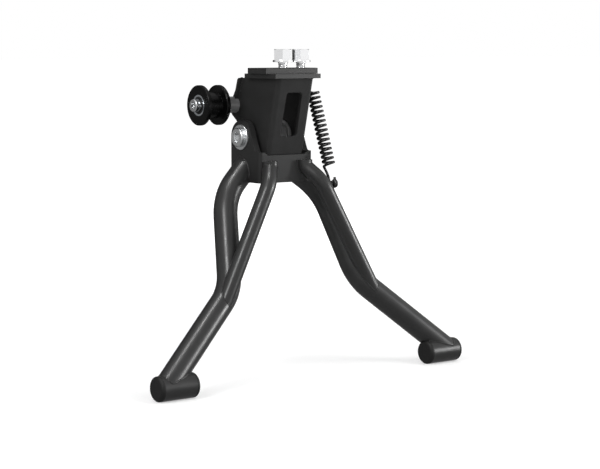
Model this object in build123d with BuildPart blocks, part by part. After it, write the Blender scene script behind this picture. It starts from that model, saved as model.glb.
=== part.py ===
from build123d import *
import os
from math import cos, hypot, radians, tan

os.makedirs("parts", exist_ok=True)

# A two-legged centre stand with a chain roller, in millimetres.
# X runs across the bicycle, Y towards its rear and Z up.
# The origin is the centre of the mounting plate's top face.

# Driving sizes: mounting plates and their bolts
plate_width = 66.4
plate_depth = 32.3
plate_thickness = 6.0
flange_width = 58.8
flange_depth = 54.6
flange_thickness = 4.7
flange_corner = 1.5
frame_gap = 6.0
bolt_spacing = 23.0
bolt_middle_x = 4.0
bolt_y = -10.0
bolt_shank_r = 4.9
bolt_hole_gap = 0.3
bolt_flats = 17.4
bolt_head_height = 13.2
bolt_flange_r = 10.4
bolt_flange_height = 2.1
bolt_rim_height = 1.2
bolt_cone_height = 0.5
bolt_end_lift = 0.4
bolt_end_chamfer = 1.0
bolt_turn = -7.0
edge_break = 0.4

# Driving sizes: folded bracket that hangs below the plates
bracket_width = 46.4
sheet = 4.0
bend_outer = 4.6
bend_inner = 1.2
bracket_front_top_y = -24.1
bracket_front_bottom_y = -4.8
bracket_bottom_z = -89.7
bracket_rear_top_y = 45.0
bracket_rear_low = (46.0, -60.0)
bracket_rear_high = (57.9, -31.1)
bracket_tail = (50.8, -41.0)
bracket_tail_r = 12.2
window_width = 19.8
window_flare = 0.9
window_top_z = -25.3
window_bottom_z = -70.8
window_corner = 3.4
gusset_front_y = 39.4
gusset_depth = 3.2
gusset_width = 4.4
gusset_slope = 0.335
gusset_round = 2.0

# Driving sizes: pivot of the legs
pivot_y = 28.0
pivot_z = -72.2
pivot_lug_r = 17.5
pivot_tube_r = 13.0
pivot_bore_r = 9.0
pivot_shaft_r = 6.0
running_gap = 0.05
collar_r = 17.0
collar_width = 3.0
collar_chamfer = 1.2
bush_length = 14.0
bush_flange_width = 2.4
bush_flange_inset = 0.5
thrust_washer_width = 1.4
side_gap = 0.2
pivot_head_r = 9.9
pivot_head_height = 4.2
pivot_socket_flats = 10.0
pivot_socket_depth = 3.2
pivot_washer_r = 13.3
pivot_washer_width = 1.4
pivot_nut_flats = 19.0
pivot_nut_width = 7.0
pivot_thread_end = 1.5
pivot_bolt_chamfer = 1.0

# Driving sizes: yoke that carries the legs
yoke_sheet = 6.8
yoke_front_y = -6.0
yoke_rear_y = 45.5
yoke_bottom_z = -118.7
yoke_shoulder_z = -86.8
yoke_notch_rise = 2.4
yoke_brow_y = 16.1
yoke_brow_foot_y = 2.1
yoke_brow_round = 12.0
yoke_foot_round = 4.0
yoke_corner = 5.0
yoke_bend = 3.6
stop_gap = 0.3

# Driving sizes: leg tubes, with the points that their middle lines turn at.
# The X of each point is measured outwards from the outer face of the yoke's ear.
leg_r = 12.5
leg_wall = 2.0
leg_lean = 0.408
leg_plane_y = 23.1
leg_plane_z = -115.0
ear_point = (-8.5, -101.4)
knee_point = (29.1, -131.8)
splay_point = (48.7, -224.1)
foot_point = (148.2, -307.4)
leg_bends = (66.0, 55.0)
strut_r = 8.0
strut_wall = 1.6
strut_start = (-11.7, -8.2, -95.8)
strut_drop = (-11.7, -8.2, -102.5)
strut_shoulder = (0.2, -22.7, -118.0)
strut_end = (64.0, -31.2, -238.5)
strut_bends = (9.0, 34.0)

# Driving sizes: feet, also measured outwards from the ear
foot_r = 12.6
foot_inner_reach = 114.8
foot_outer_reach = 159.8
foot_cap_width = 4.2
foot_cap_round = 3.2
foot_plug_length = 8.0

# Driving sizes: chain roller and its carrier
roller_y = 52.4
roller_z = -39.0
boss_r = 8.6
boss_length = 19.1
boss_chamfer = 1.0
roller_gap = 1.0
roller_width = 28.0
roller_r = 21.0
roller_hub_r = 13.8
roller_rim_width = 4.8
roller_rim_edge = 0.8
roller_rim_draft = 1.0
bearing_r = 11.0
bearing_width = 7.0
bearing_bore_r = 4.0
bearing_inset = 0.8
bearing_land = 2.0
outer_land_r = 9.2
inner_land_r = 5.7
ball_r = 1.93
ball_count = 7
ball_circle_r = 7.45
race_r = 2.0
seal_width = 0.6
seal_inset = 0.2
roller_washer_r = 6.3
roller_washer_width = 1.8
shim_r = 5.8
distance_tube_r = 5.6
screw_head_r = 6.8
screw_head_height = 5.2
screw_head_chamfer = 0.7
screw_socket_flats = 6.0
screw_socket_depth = 3.0
screw_hole_floor = 2.8
screw_hole_cone = 1.5

# Driving sizes: return spring and the peg for its lower hook, X from the ear as well
spring_wire_r = 1.2
spring_r = 5.6
spring_turns = 15.7
spring_top = (7.95, 3.29, -26.3)
spring_bottom = (13.24, -17.77, -102.5)
coil_start = 53.0
anchor_y = 6.0
anchor_z = -24.5
anchor_reach = 8.0
anchor_tail = 1.0
hook_hole_gap = 0.2
peg_y = -20.5
peg_z = -121.5
peg_r = 3.1
peg_head_r = 4.6
peg_head_width = 2.4
peg_head_chamfer = 0.6
peg_groove_side = 2.6
hook_reach = 15.0
hook_gap = 0.25
hook_tip = 7.0

# Worked-out places
bolt_xs = [bolt_middle_x - bolt_spacing / 2, bolt_middle_x + bolt_spacing / 2]
side_x = bracket_width / 2
wall_x = side_x - sheet
ear_inner_x = side_x + bush_flange_width + thrust_washer_width + side_gap
ear_x = ear_inner_x + yoke_sheet
yoke_inner_y = yoke_front_y + yoke_sheet
yoke_top_z = bracket_bottom_z - stop_gap
flange_top_z = -plate_thickness
flange_bottom_z = flange_top_z - flange_thickness
lean = (bracket_front_bottom_y - bracket_front_top_y) / (flange_bottom_z - bracket_bottom_z)
foot_inner_x = ear_x + foot_inner_reach
foot_outer_x = ear_x + foot_outer_reach
hook_x = ear_x + hook_reach
boss_end_x = -side_x - boss_length
screw_tip_x = -side_x - screw_hole_floor
roller_right_x = boss_end_x - roller_gap
roller_left_x = roller_right_x - roller_width
seat_depth = bearing_inset + bearing_width
bearing_left_x = roller_left_x + bearing_inset
bearing_right_x = roller_right_x - seat_depth
far = 100.0


def across(x, y=0.0, z=0.0):
    """Plane that faces +X through a point, with +Y to its right and +Z up."""
    return Plane(origin=(x, y, z), x_dir=(0, 1, 0), z_dir=(1, 0, 0))


def turned(y, z, x=0.0):
    """Plane that holds an axis along X, with radius measured upwards from that axis."""
    return Plane(origin=(x, y, z), x_dir=(1, 0, 0), z_dir=(0, -1, 0))


def axle(y, z):
    """Line along X through a point of the YZ plane."""
    return Axis((0, y, z), (1, 0, 0))


def leg_y(z):
    """Y of the leaning plane that holds both legs, at a height."""
    return leg_plane_y + leg_lean * (z - leg_plane_z)


def beside_ear(side, point):
    """Point in space, its X counted outwards from the left or the right ear."""
    out, y, z = point
    return (side * (ear_x + out), y, z)


def leg_at(side, point):
    """Point of a leg's middle line on the left or the right side."""
    out, z = point
    return (side * (ear_x + out), leg_y(z), z)


# Mounting plate that lies under the bicycle's frame plate
with BuildPart() as mounting_plate:
    with BuildSketch(Plane.XY.offset(flange_top_z)):
        Rectangle(plate_width, plate_depth)
        with Locations(*[(x, bolt_y) for x in bolt_xs]):
            Circle(bolt_shank_r + bolt_hole_gap, mode=Mode.SUBTRACT)
    extrude(amount=plate_thickness)
    chamfer(mounting_plate.faces().sort_by(Axis.Z)[-1].outer_wire().edges(), edge_break)
mounting_plate.part.label = "mounting_plate"
export_step(mounting_plate.part, "parts/mounting_plate.step")

# Wider flange plate on top of the bracket
with BuildPart() as flange_plate:
    with BuildSketch(Plane.XY.offset(flange_bottom_z)):
        Rectangle(flange_width, flange_depth)
        with Locations(*[(x, bolt_y) for x in bolt_xs]):
            Circle(bolt_shank_r, mode=Mode.SUBTRACT)
    extrude(amount=flange_thickness)
    fillet(flange_plate.edges().filter_by(Axis.Z).filter_by(GeomType.LINE).group_by(Axis.X)[-1], flange_corner)
flange_plate.part.label = "flange_plate"
export_step(flange_plate.part, "parts/flange_plate.step")

# Mounting bolts: hexagon heads with a collar, shanks screwed into the flange plate
flange_top_of_bolt_z = frame_gap + bolt_flange_height
bolt_end_z = flange_bottom_z + bolt_end_lift
crown_z = frame_gap + bolt_head_height
flats_r = bolt_flats / 2
corner_r = flats_r / cos(radians(30))
cut_r = corner_r + 1
crown_cut_z = crown_z - (cut_r - flats_r) * tan(radians(30))
for bolt_name, bolt_x in zip(("left", "right"), bolt_xs):
    with BuildPart() as mounting_bolt:
        with BuildSketch(Plane.XY.offset(flange_top_of_bolt_z)):
            with Locations((bolt_x, bolt_y)):
                RegularPolygon(bolt_flats / 2, 6, major_radius=False, rotation=bolt_turn)
        extrude(amount=bolt_head_height - bolt_flange_height)
        with BuildSketch(Plane(origin=(bolt_x, bolt_y, 0), x_dir=(1, 0, 0), z_dir=(0, -1, 0))):
            Polygon((flats_r, crown_z), (cut_r, crown_cut_z), (cut_r, crown_z), align=None)
        revolve(axis=Axis((bolt_x, bolt_y, 0), (0, 0, 1)), mode=Mode.SUBTRACT)
        with BuildSketch(Plane(origin=(bolt_x, bolt_y, 0), x_dir=(1, 0, 0), z_dir=(0, -1, 0))):
            with BuildLine():
                Polyline(
                    (0, flange_top_of_bolt_z + bolt_cone_height),
                    (bolt_flats / 2, flange_top_of_bolt_z + bolt_cone_height),
                    (bolt_flange_r, frame_gap + bolt_rim_height),
                    (bolt_flange_r, frame_gap),
                    (bolt_shank_r, frame_gap),
                    (bolt_shank_r, bolt_end_z + bolt_end_chamfer),
                    (bolt_shank_r - bolt_end_chamfer, bolt_end_z),
                    (0, bolt_end_z),
                    close=True,
                )
            make_face()
        revolve(axis=Axis((bolt_x, bolt_y, 0), (0, 0, 1)))
    mounting_bolt.part.label = f"mounting_bolt_{bolt_name}"
    export_step(mounting_bolt.part, f"parts/mounting_bolt_{bolt_name}.step")

# Bracket: one folded sheet, open at the rear and below, with its front wall leaning back
inner_step = sheet * hypot(1.0, lean)
side_outline = [
    (bracket_front_top_y, flange_bottom_z),
    (bracket_front_bottom_y, bracket_bottom_z),
    (pivot_y, bracket_bottom_z),
    bracket_rear_low,
    (bracket_tail[0] + bracket_tail_r / 2, bracket_tail[1] - bracket_tail_r * 0.86),
    bracket_rear_high,
    (bracket_rear_top_y, flange_bottom_z),
]
hollow_outline = [
    (bracket_front_top_y + inner_step, flange_bottom_z),
    (bracket_front_bottom_y + inner_step, bracket_bottom_z),
    (bracket_front_bottom_y + inner_step, bracket_bottom_z - sheet),
    (far, bracket_bottom_z - sheet),
    (far, flange_bottom_z),
]
with BuildPart() as bracket:
    with BuildSketch(across(0)):
        Polygon(*side_outline, align=None)
        with Locations((pivot_y, pivot_z)):
            Circle(pivot_lug_r)
        with Locations(bracket_tail):
            Circle(bracket_tail_r)
    extrude(amount=side_x, both=True)
    fillet(bracket.faces().sort_by(Axis.Y)[0].edges().group_by(SortBy.LENGTH)[-1], bend_outer)
    with BuildPart(mode=Mode.PRIVATE) as hollow:
        with BuildSketch(across(0)):
            Polygon(*hollow_outline, align=None)
        extrude(amount=wall_x, both=True)
        fillet(hollow.faces().sort_by(Axis.Y)[0].edges().group_by(SortBy.LENGTH)[-1], bend_inner)
    add(hollow.part, mode=Mode.SUBTRACT)
    with BuildSketch(Plane.XZ.offset(far)):
        with BuildLine():
            Polyline(
                (-window_width / 2, window_top_z),
                (window_width / 2, window_top_z),
                (window_width / 2 + window_flare, window_bottom_z),
                (-window_width / 2 - window_flare, window_bottom_z),
                close=True,
            )
        make_face()
        fillet(vertices(), window_corner)
    extrude(amount=-far - pivot_y / 2, mode=Mode.SUBTRACT)
    with BuildSketch(across(0, pivot_y, pivot_z)):
        Circle(pivot_tube_r)
    extrude(amount=ear_x, both=True, mode=Mode.SUBTRACT)
    with BuildSketch(across(wall_x - sheet, anchor_y, anchor_z)):
        Circle(spring_wire_r + hook_hole_gap)
    extrude(amount=3 * sheet, mode=Mode.SUBTRACT)
bracket.part.label = "bracket"
export_step(bracket.part, "parts/bracket.step")

# Gusset that braces the roller's boss from above
gusset_run = gusset_slope * (flange_bottom_z - roller_z)
with BuildPart() as roller_gusset:
    with BuildSketch(across(-side_x)):
        Polygon(
            (gusset_front_y, flange_bottom_z),
            (gusset_front_y + gusset_depth, flange_bottom_z),
            (gusset_front_y + gusset_depth + gusset_run, roller_z),
            (gusset_front_y + gusset_run, roller_z),
            align=None,
        )
    extrude(amount=-gusset_width)
    fillet(roller_gusset.edges().filter_by(Axis.Y).group_by(Axis.Z)[-1].sort_by(Axis.X)[0], gusset_round)
    with BuildSketch(across(-side_x, roller_y, roller_z)):
        Circle(boss_r)
    extrude(amount=-2 * gusset_width, mode=Mode.SUBTRACT)
roller_gusset.part.label = "roller_gusset"
export_step(roller_gusset.part, "parts/roller_gusset.step")

# Boss that carries the roller, with a tapped hole for its screw
with BuildPart() as roller_boss:
    with BuildSketch(turned(roller_y, roller_z)):
        with BuildLine():
            Polyline(
                (-side_x, 0),
                (-side_x, boss_r),
                (boss_end_x + boss_chamfer, boss_r),
                (boss_end_x, boss_r - boss_chamfer),
                (boss_end_x, bearing_bore_r),
                (screw_tip_x, bearing_bore_r),
                (screw_tip_x + screw_hole_cone, 0),
                close=True,
            )
        make_face()
    revolve(axis=axle(roller_y, roller_z))
roller_boss.part.label = "roller_boss"
export_step(roller_boss.part, "parts/roller_boss.step")

# Chain roller: two rims and a groove, with a seat for a bearing at each end
rim_r = roller_r - roller_rim_edge
groove_left_x = roller_left_x + roller_rim_width
groove_right_x = roller_right_x - roller_rim_width
mouth_r = bearing_r + bearing_inset
with BuildPart() as roller:
    with BuildSketch(turned(roller_y, roller_z)):
        with BuildLine():
            Polyline(
                (roller_left_x, mouth_r),
                (roller_left_x, rim_r),
                (roller_left_x + roller_rim_edge, roller_r),
                (groove_left_x - roller_rim_edge, roller_r),
                (groove_left_x, rim_r),
                (groove_left_x + roller_rim_draft, roller_hub_r),
                (groove_right_x - roller_rim_draft, roller_hub_r),
                (groove_right_x, rim_r),
                (groove_right_x + roller_rim_edge, roller_r),
                (roller_right_x - roller_rim_edge, roller_r),
                (roller_right_x, rim_r),
                (roller_right_x, mouth_r),
                (roller_right_x - bearing_inset, bearing_r),
                (bearing_right_x, bearing_r),
                (bearing_right_x, bearing_r - bearing_land),
                (bearing_left_x + bearing_width, bearing_r - bearing_land),
                (bearing_left_x + bearing_width, bearing_r),
                (bearing_left_x, bearing_r),
                close=True,
            )
        make_face()
    revolve(axis=axle(roller_y, roller_z))
roller.part.label = "roller"
export_step(roller.part, "parts/roller.step")

# Two sealed ball bearings inside the roller, each with its seal on the outside
left_seal_x = bearing_left_x + seal_inset
right_seal_x = bearing_right_x + bearing_width - seal_inset - seal_width
for side_name, start_x, seal_x in (
    ("left", bearing_left_x, left_seal_x),
    ("right", bearing_right_x, right_seal_x),
):
    race_x = start_x + bearing_width / 2
    for ring_name, low_r, high_r in (
        ("outer_ring", outer_land_r, bearing_r),
        ("inner_ring", bearing_bore_r, inner_land_r),
    ):
        with BuildPart() as ring:
            with BuildSketch(turned(roller_y, roller_z)):
                with Locations((race_x, (low_r + high_r) / 2)):
                    Rectangle(bearing_width, high_r - low_r)
                with Locations((race_x, ball_circle_r)):
                    Circle(race_r, mode=Mode.SUBTRACT)
            revolve(axis=axle(roller_y, roller_z))
        ring.part.label = f"bearing_{side_name}_{ring_name}"
        export_step(ring.part, f"parts/bearing_{side_name}_{ring_name}.step")
    with BuildPart() as balls:
        with Locations(across(race_x, roller_y, roller_z)):
            with PolarLocations(ball_circle_r, ball_count):
                Sphere(ball_r)
    balls.part.label = f"bearing_{side_name}_balls"
    export_step(balls.part, f"parts/bearing_{side_name}_balls.step")
    with BuildPart() as seal:
        with BuildSketch(across(seal_x, roller_y, roller_z)):
            Circle(outer_land_r)
            Circle(inner_land_r + seal_inset, mode=Mode.SUBTRACT)
        extrude(amount=seal_width)
    seal.part.label = f"bearing_{side_name}_seal"
    export_step(seal.part, f"parts/bearing_{side_name}_seal.step")

# Shim, distance tube and washer that clamp the inner rings onto the boss
washer_face_x = bearing_left_x - roller_washer_width
for ring_name, left_x, right_x, outer_r in (
    ("roller_shim", bearing_right_x + bearing_width, boss_end_x, shim_r),
    ("roller_distance_tube", bearing_left_x + bearing_width, bearing_right_x, distance_tube_r),
    ("roller_washer", washer_face_x, bearing_left_x, roller_washer_r),
):
    with BuildPart() as clamp_ring:
        with BuildSketch(across(left_x, roller_y, roller_z)):
            Circle(outer_r)
            Circle(bearing_bore_r, mode=Mode.SUBTRACT)
        extrude(amount=right_x - left_x)
    clamp_ring.part.label = ring_name
    export_step(clamp_ring.part, f"parts/{ring_name}.step")

# Socket screw through the roller into the boss
screw_end_x = washer_face_x - screw_head_height
screw_point_x = screw_tip_x - seal_inset
with BuildPart() as roller_screw:
    with BuildSketch(turned(roller_y, roller_z)):
        with BuildLine():
            Polyline(
                (screw_end_x, 0),
                (screw_end_x, screw_head_r - screw_head_chamfer),
                (screw_end_x + screw_head_chamfer, screw_head_r),
                (washer_face_x, screw_head_r),
                (washer_face_x, bearing_bore_r),
                (screw_point_x - screw_head_chamfer, bearing_bore_r),
                (screw_point_x, bearing_bore_r - screw_head_chamfer),
                (screw_point_x, 0),
                close=True,
            )
        make_face()
    revolve(axis=axle(roller_y, roller_z))
    with BuildSketch(across(screw_end_x, roller_y, roller_z)):
        RegularPolygon(screw_socket_flats / 2, 6, major_radius=False, rotation=12)
    extrude(amount=screw_socket_depth, mode=Mode.SUBTRACT)
roller_screw.part.label = "roller_screw"
export_step(roller_screw.part, "parts/roller_screw.step")

# Pivot tube through both walls of the bracket, with a collar inside each wall
with BuildPart() as pivot_tube:
    with BuildSketch(across(0, pivot_y, pivot_z)):
        Circle(pivot_tube_r)
        Circle(pivot_bore_r, mode=Mode.SUBTRACT)
    extrude(amount=side_x, both=True)
pivot_tube.part.label = "pivot_tube"
export_step(pivot_tube.part, "parts/pivot_tube.step")

for side_name, side in (("left", -1), ("right", 1)):
    collar_x = side * (wall_x - collar_width)
    with BuildPart() as pivot_collar:
        with BuildSketch(turned(pivot_y, pivot_z)):
            Polygon(
                (side * wall_x, pivot_tube_r),
                (side * wall_x, collar_r),
                (collar_x + side * collar_chamfer, collar_r),
                (collar_x, collar_r - collar_chamfer),
                (collar_x, pivot_tube_r),
                align=None,
            )
        revolve(axis=axle(pivot_y, pivot_z))
    pivot_collar.part.label = f"pivot_collar_{side_name}"
    export_step(pivot_collar.part, f"parts/pivot_collar_{side_name}.step")

    # Flanged bush in the end of the tube, and the thrust washer outside it
    bush_flange_x = side * (side_x + bush_flange_width)
    bush_inner_x = side * (side_x - bush_length)
    bush_flange_r = pivot_tube_r - bush_flange_inset
    with BuildPart() as pivot_bush:
        with BuildSketch(turned(pivot_y, pivot_z)):
            Polygon(
                (bush_inner_x, pivot_shaft_r + running_gap),
                (bush_inner_x, pivot_bore_r),
                (side * side_x, pivot_bore_r),
                (side * side_x, bush_flange_r),
                (bush_flange_x, bush_flange_r),
                (bush_flange_x, pivot_shaft_r + running_gap),
                align=None,
            )
        revolve(axis=axle(pivot_y, pivot_z))
    pivot_bush.part.label = f"pivot_bush_{side_name}"
    export_step(pivot_bush.part, f"parts/pivot_bush_{side_name}.step")

    with BuildPart() as thrust_washer:
        with BuildSketch(across(bush_flange_x, pivot_y, pivot_z)):
            Circle(bush_flange_r)
            Circle(pivot_shaft_r + side_gap, mode=Mode.SUBTRACT)
        extrude(amount=side * thrust_washer_width)
    thrust_washer.part.label = f"thrust_washer_{side_name}"
    export_step(thrust_washer.part, f"parts/thrust_washer_{side_name}.step")

    outer_face = 0 if side < 0 else -1
    with BuildPart() as pivot_washer:
        with BuildSketch(across(side * ear_x, pivot_y, pivot_z)):
            Circle(pivot_washer_r)
            Circle(pivot_shaft_r + running_gap, mode=Mode.SUBTRACT)
        extrude(amount=side * pivot_washer_width)
        chamfer(pivot_washer.faces().sort_by(Axis.X)[outer_face].outer_wire().edges(), edge_break)
    pivot_washer.part.label = f"pivot_washer_{side_name}"
    export_step(pivot_washer.part, f"parts/pivot_washer_{side_name}.step")

# Pivot bolt, clamped through the yoke and running in the bushes
head_right_x = -ear_x - pivot_washer_width
head_left_x = head_right_x - pivot_head_height
nut_left_x = ear_x + pivot_washer_width
bolt_tip_x = nut_left_x + pivot_nut_width + pivot_thread_end
with BuildPart() as pivot_bolt:
    with BuildSketch(turned(pivot_y, pivot_z)):
        with BuildLine():
            Polyline(
                (head_left_x, 0),
                (head_left_x, pivot_head_r - pivot_bolt_chamfer),
                (head_left_x + pivot_bolt_chamfer, pivot_head_r),
                (head_right_x, pivot_head_r),
                (head_right_x, pivot_shaft_r),
                (bolt_tip_x - pivot_bolt_chamfer, pivot_shaft_r),
                (bolt_tip_x, pivot_shaft_r - pivot_bolt_chamfer),
                (bolt_tip_x, 0),
                close=True,
            )
        make_face()
    revolve(axis=axle(pivot_y, pivot_z))
    with BuildSketch(across(head_left_x, pivot_y, pivot_z)):
        RegularPolygon(pivot_socket_flats / 2, 6, major_radius=False, rotation=20)
    extrude(amount=pivot_socket_depth, mode=Mode.SUBTRACT)
pivot_bolt.part.label = "pivot_bolt"
export_step(pivot_bolt.part, "parts/pivot_bolt.step")

with BuildPart() as pivot_nut:
    with BuildSketch(across(nut_left_x, pivot_y, pivot_z)):
        RegularPolygon(pivot_nut_flats / 2, 6, major_radius=False, rotation=30)
        Circle(pivot_shaft_r, mode=Mode.SUBTRACT)
    extrude(amount=pivot_nut_width)
pivot_nut.part.label = "pivot_nut"
export_step(pivot_nut.part, "parts/pivot_nut.step")

# Yoke: two ears round the pivot, joined by a front wall below the bracket's
ear_top_z = pivot_z + pivot_lug_r
notch_x = side_x + side_gap
with BuildPart() as yoke:
    with BuildSketch(across(0)):
        with BuildLine():
            Polyline(
                (yoke_rear_y, pivot_z),
                (yoke_rear_y, yoke_bottom_z),
                (yoke_front_y, yoke_bottom_z),
                (yoke_front_y, yoke_shoulder_z),
                (yoke_brow_foot_y, yoke_shoulder_z),
                (yoke_brow_y, ear_top_z),
                (pivot_y, ear_top_z),
            )
            CenterArc((pivot_y, pivot_z), pivot_lug_r, 0, 90)
        make_face()
        fillet(vertices().sort_by_distance((yoke_brow_y, ear_top_z))[0], yoke_brow_round)
        fillet(vertices().sort_by_distance((yoke_brow_foot_y, yoke_shoulder_z))[0], yoke_foot_round)
        fillet(vertices().sort_by_distance((yoke_rear_y, yoke_bottom_z))[0], yoke_corner)
    extrude(amount=ear_x, both=True)
    fillet(yoke.faces().sort_by(Axis.Y)[0].edges().filter_by(Axis.Z), yoke_bend)
    with BuildSketch(Plane.XY.offset(yoke_bottom_z - 1)):
        with Locations((0, yoke_inner_y)):
            Rectangle(2 * ear_inner_x, 2 * yoke_rear_y, align=(Align.CENTER, Align.MIN))
    extrude(amount=-2 * yoke_bottom_z, mode=Mode.SUBTRACT)
    with BuildSketch(Plane.XZ.offset(-yoke_front_y + 1)):
        Polygon(
            (-ear_inner_x, ear_top_z),
            (-ear_inner_x, yoke_top_z + yoke_notch_rise),
            (-notch_x, yoke_top_z),
            (notch_x, yoke_top_z),
            (ear_inner_x, yoke_top_z + yoke_notch_rise),
            (ear_inner_x, ear_top_z),
            align=None,
        )
    extrude(amount=-yoke_sheet - 1, mode=Mode.SUBTRACT)
    with BuildSketch(across(0, pivot_y, pivot_z)):
        Circle(pivot_shaft_r + running_gap)
    extrude(amount=ear_x + 1, both=True, mode=Mode.SUBTRACT)
yoke.part.label = "yoke"
export_step(yoke.part, "parts/yoke.step")

# Legs: each a bent main tube, a strut in front of it and a foot tube across its end
foot_y = leg_y(foot_point[1])
foot_z = foot_point[1]
seam_inner_x = foot_inner_x + foot_cap_width
seam_outer_x = foot_outer_x - foot_cap_width
main_points = (ear_point, knee_point, splay_point, foot_point)
strut_points = (strut_start, strut_drop, strut_shoulder, strut_end)
for side_name, side in (("left", -1), ("right", 1)):
    with BuildPart(mode=Mode.PRIVATE) as foot_envelope:
        with BuildSketch(across(side * foot_inner_x, foot_y, foot_z)):
            Circle(foot_r)
        extrude(amount=side * (foot_outer_x - foot_inner_x))

    with BuildPart(mode=Mode.PRIVATE) as main_core:
        with BuildLine() as main_line:
            FilletPolyline(*[leg_at(side, point) for point in main_points], radius=leg_bends)
        with BuildSketch(Plane(origin=main_line.line @ 0, z_dir=main_line.line % 0)):
            Circle(leg_r)
        sweep()
    with BuildPart() as main_tube:
        add(main_core.part)
        with BuildSketch(Plane(origin=main_line.line @ 0, z_dir=main_line.line % 0)):
            Circle(leg_r - leg_wall)
        sweep(path=main_line.line, mode=Mode.SUBTRACT)
        with BuildSketch(Plane.XY.offset(yoke_bottom_z)):
            Rectangle(2 * ear_x, 4 * yoke_rear_y)
        extrude(amount=-yoke_bottom_z, mode=Mode.SUBTRACT)
        add(foot_envelope.part, mode=Mode.SUBTRACT)
    main_tube.part.label = f"main_tube_{side_name}"
    export_step(main_tube.part, f"parts/main_tube_{side_name}.step")

    with BuildPart(mode=Mode.PRIVATE) as strut_core:
        with BuildLine() as strut_line:
            FilletPolyline(*[beside_ear(side, point) for point in strut_points], radius=strut_bends)
        with BuildSketch(Plane(origin=strut_line.line @ 0, z_dir=strut_line.line % 0)):
            Circle(strut_r)
        sweep()
    with BuildPart() as strut:
        add(strut_core.part)
        with BuildSketch(Plane(origin=strut_line.line @ 0, z_dir=strut_line.line % 0)):
            Circle(strut_r - strut_wall)
        sweep(path=strut_line.line, mode=Mode.SUBTRACT)
        with BuildSketch(Plane(origin=strut_line.line @ 0, z_dir=strut_line.line % 0)):
            Circle(strut_r)
        extrude(amount=strut_wall)
        with BuildSketch(Plane.XY.offset(yoke_bottom_z)):
            with Locations((0, yoke_front_y)):
                Rectangle(2 * ear_x, 2 * yoke_rear_y, align=(Align.CENTER, Align.MIN))
        extrude(amount=-yoke_bottom_z, mode=Mode.SUBTRACT)
        add(main_core.part, mode=Mode.SUBTRACT)
    strut.part.label = f"strut_{side_name}"
    export_step(strut.part, f"parts/strut_{side_name}.step")

    with BuildPart() as foot_tube:
        with BuildSketch(across(side * seam_inner_x, foot_y, foot_z)):
            Circle(foot_r)
            Circle(foot_r - leg_wall, mode=Mode.SUBTRACT)
        extrude(amount=side * (seam_outer_x - seam_inner_x))
    foot_tube.part.label = f"foot_tube_{side_name}"
    export_step(foot_tube.part, f"parts/foot_tube_{side_name}.step")

    for end_name, end_x, seam_x in (("inner", foot_inner_x, seam_inner_x), ("outer", foot_outer_x, seam_outer_x)):
        inward = side if end_name == "inner" else -side
        with BuildPart() as foot_cap:
            with BuildSketch(across(side * end_x, foot_y, foot_z)):
                Circle(foot_r)
            extrude(amount=inward * foot_cap_width)
            fillet(foot_cap.edges().sort_by_distance((side * end_x, foot_y, foot_z + foot_r))[0], foot_cap_round)
            with BuildSketch(across(side * seam_x, foot_y, foot_z)):
                Circle(foot_r - leg_wall)
            extrude(amount=inward * foot_plug_length)
        foot_cap.part.label = f"foot_cap_{side_name}_{end_name}"
        export_step(foot_cap.part, f"parts/foot_cap_{side_name}_{end_name}.step")

# Peg on the right strut for the lower hook of the spring
peg_head_x = hook_x + peg_groove_side
peg_end_x = peg_head_x + peg_head_width
with BuildPart() as spring_peg:
    with BuildSketch(turned(peg_y, peg_z)):
        with BuildLine():
            Polyline(
                (ear_x + strut_shoulder[0], 0),
                (ear_x + strut_shoulder[0], peg_r),
                (peg_head_x, peg_r),
                (peg_head_x, peg_head_r),
                (peg_end_x - peg_head_chamfer, peg_head_r),
                (peg_end_x, peg_head_r - peg_head_chamfer),
                (peg_end_x, 0),
                close=True,
            )
        make_face()
    revolve(axis=axle(peg_y, peg_z))
    add(strut_core.part, mode=Mode.SUBTRACT)
spring_peg.part.label = "spring_peg"
export_step(spring_peg.part, "parts/spring_peg.step")

# Return spring: a close coil between the bracket's right wall and the peg
coil_start_point = beside_ear(1, spring_bottom)
spring_axis = tuple(top - bottom for top, bottom in zip(spring_top, spring_bottom))
spring_length = hypot(*spring_axis)
hook_bend_r = peg_r + spring_wire_r + hook_gap
hook_back = (hook_x, peg_y + hook_bend_r, peg_z)
hook_low = (hook_x, peg_y, peg_z - hook_bend_r)
hook_front = (hook_x, peg_y - hook_bend_r, peg_z)
anchor = (side_x + anchor_reach, anchor_y, anchor_z)
anchor_end = (wall_x - anchor_tail, anchor_y, anchor_z)
with BuildPart() as spring:
    with BuildLine() as coil_line:
        coil_pitch = spring_length / spring_turns
        coil = Helix(coil_pitch, spring_length, spring_r, coil_start_point, spring_axis, mode=Mode.PRIVATE)
        add(coil.rotate(Axis(coil_start_point, spring_axis), coil_start))
    with BuildSketch(Plane(origin=coil_line.line @ 0, z_dir=coil_line.line % 0)):
        Circle(spring_wire_r)
    sweep(is_frenet=True)
    with BuildLine() as lower_hook:
        Spline(coil_line.line @ 0, hook_back, tangents=(-(coil_line.line % 0), (0, 0, -1)))
        ThreePointArc(hook_back, hook_low, hook_front)
        Line(hook_front, (hook_x, hook_front[1], peg_z + hook_tip))
    with BuildSketch(Plane(origin=lower_hook.line @ 0, z_dir=lower_hook.line % 0)):
        Circle(spring_wire_r)
    sweep(path=lower_hook.line)
    with BuildLine() as upper_hook:
        Spline(coil_line.line @ 1, anchor, tangents=(coil_line.line % 1, (-1, 0, 0)))
        Line(anchor, anchor_end)
    with BuildSketch(Plane(origin=upper_hook.line @ 0, z_dir=upper_hook.line % 0)):
        Circle(spring_wire_r)
    sweep(path=upper_hook.line)
spring.part.label = "spring"
export_step(spring.part, "parts/spring.step")
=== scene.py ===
"""Looks of a two-legged centre stand for a bicycle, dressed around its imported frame."""

import logging
import math
from dataclasses import dataclass, field
from enum import Enum
from typing import Any, Iterable, Optional

import bmesh
import bpy
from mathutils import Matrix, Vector
from mathutils.bvhtree import BVHTree


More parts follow.
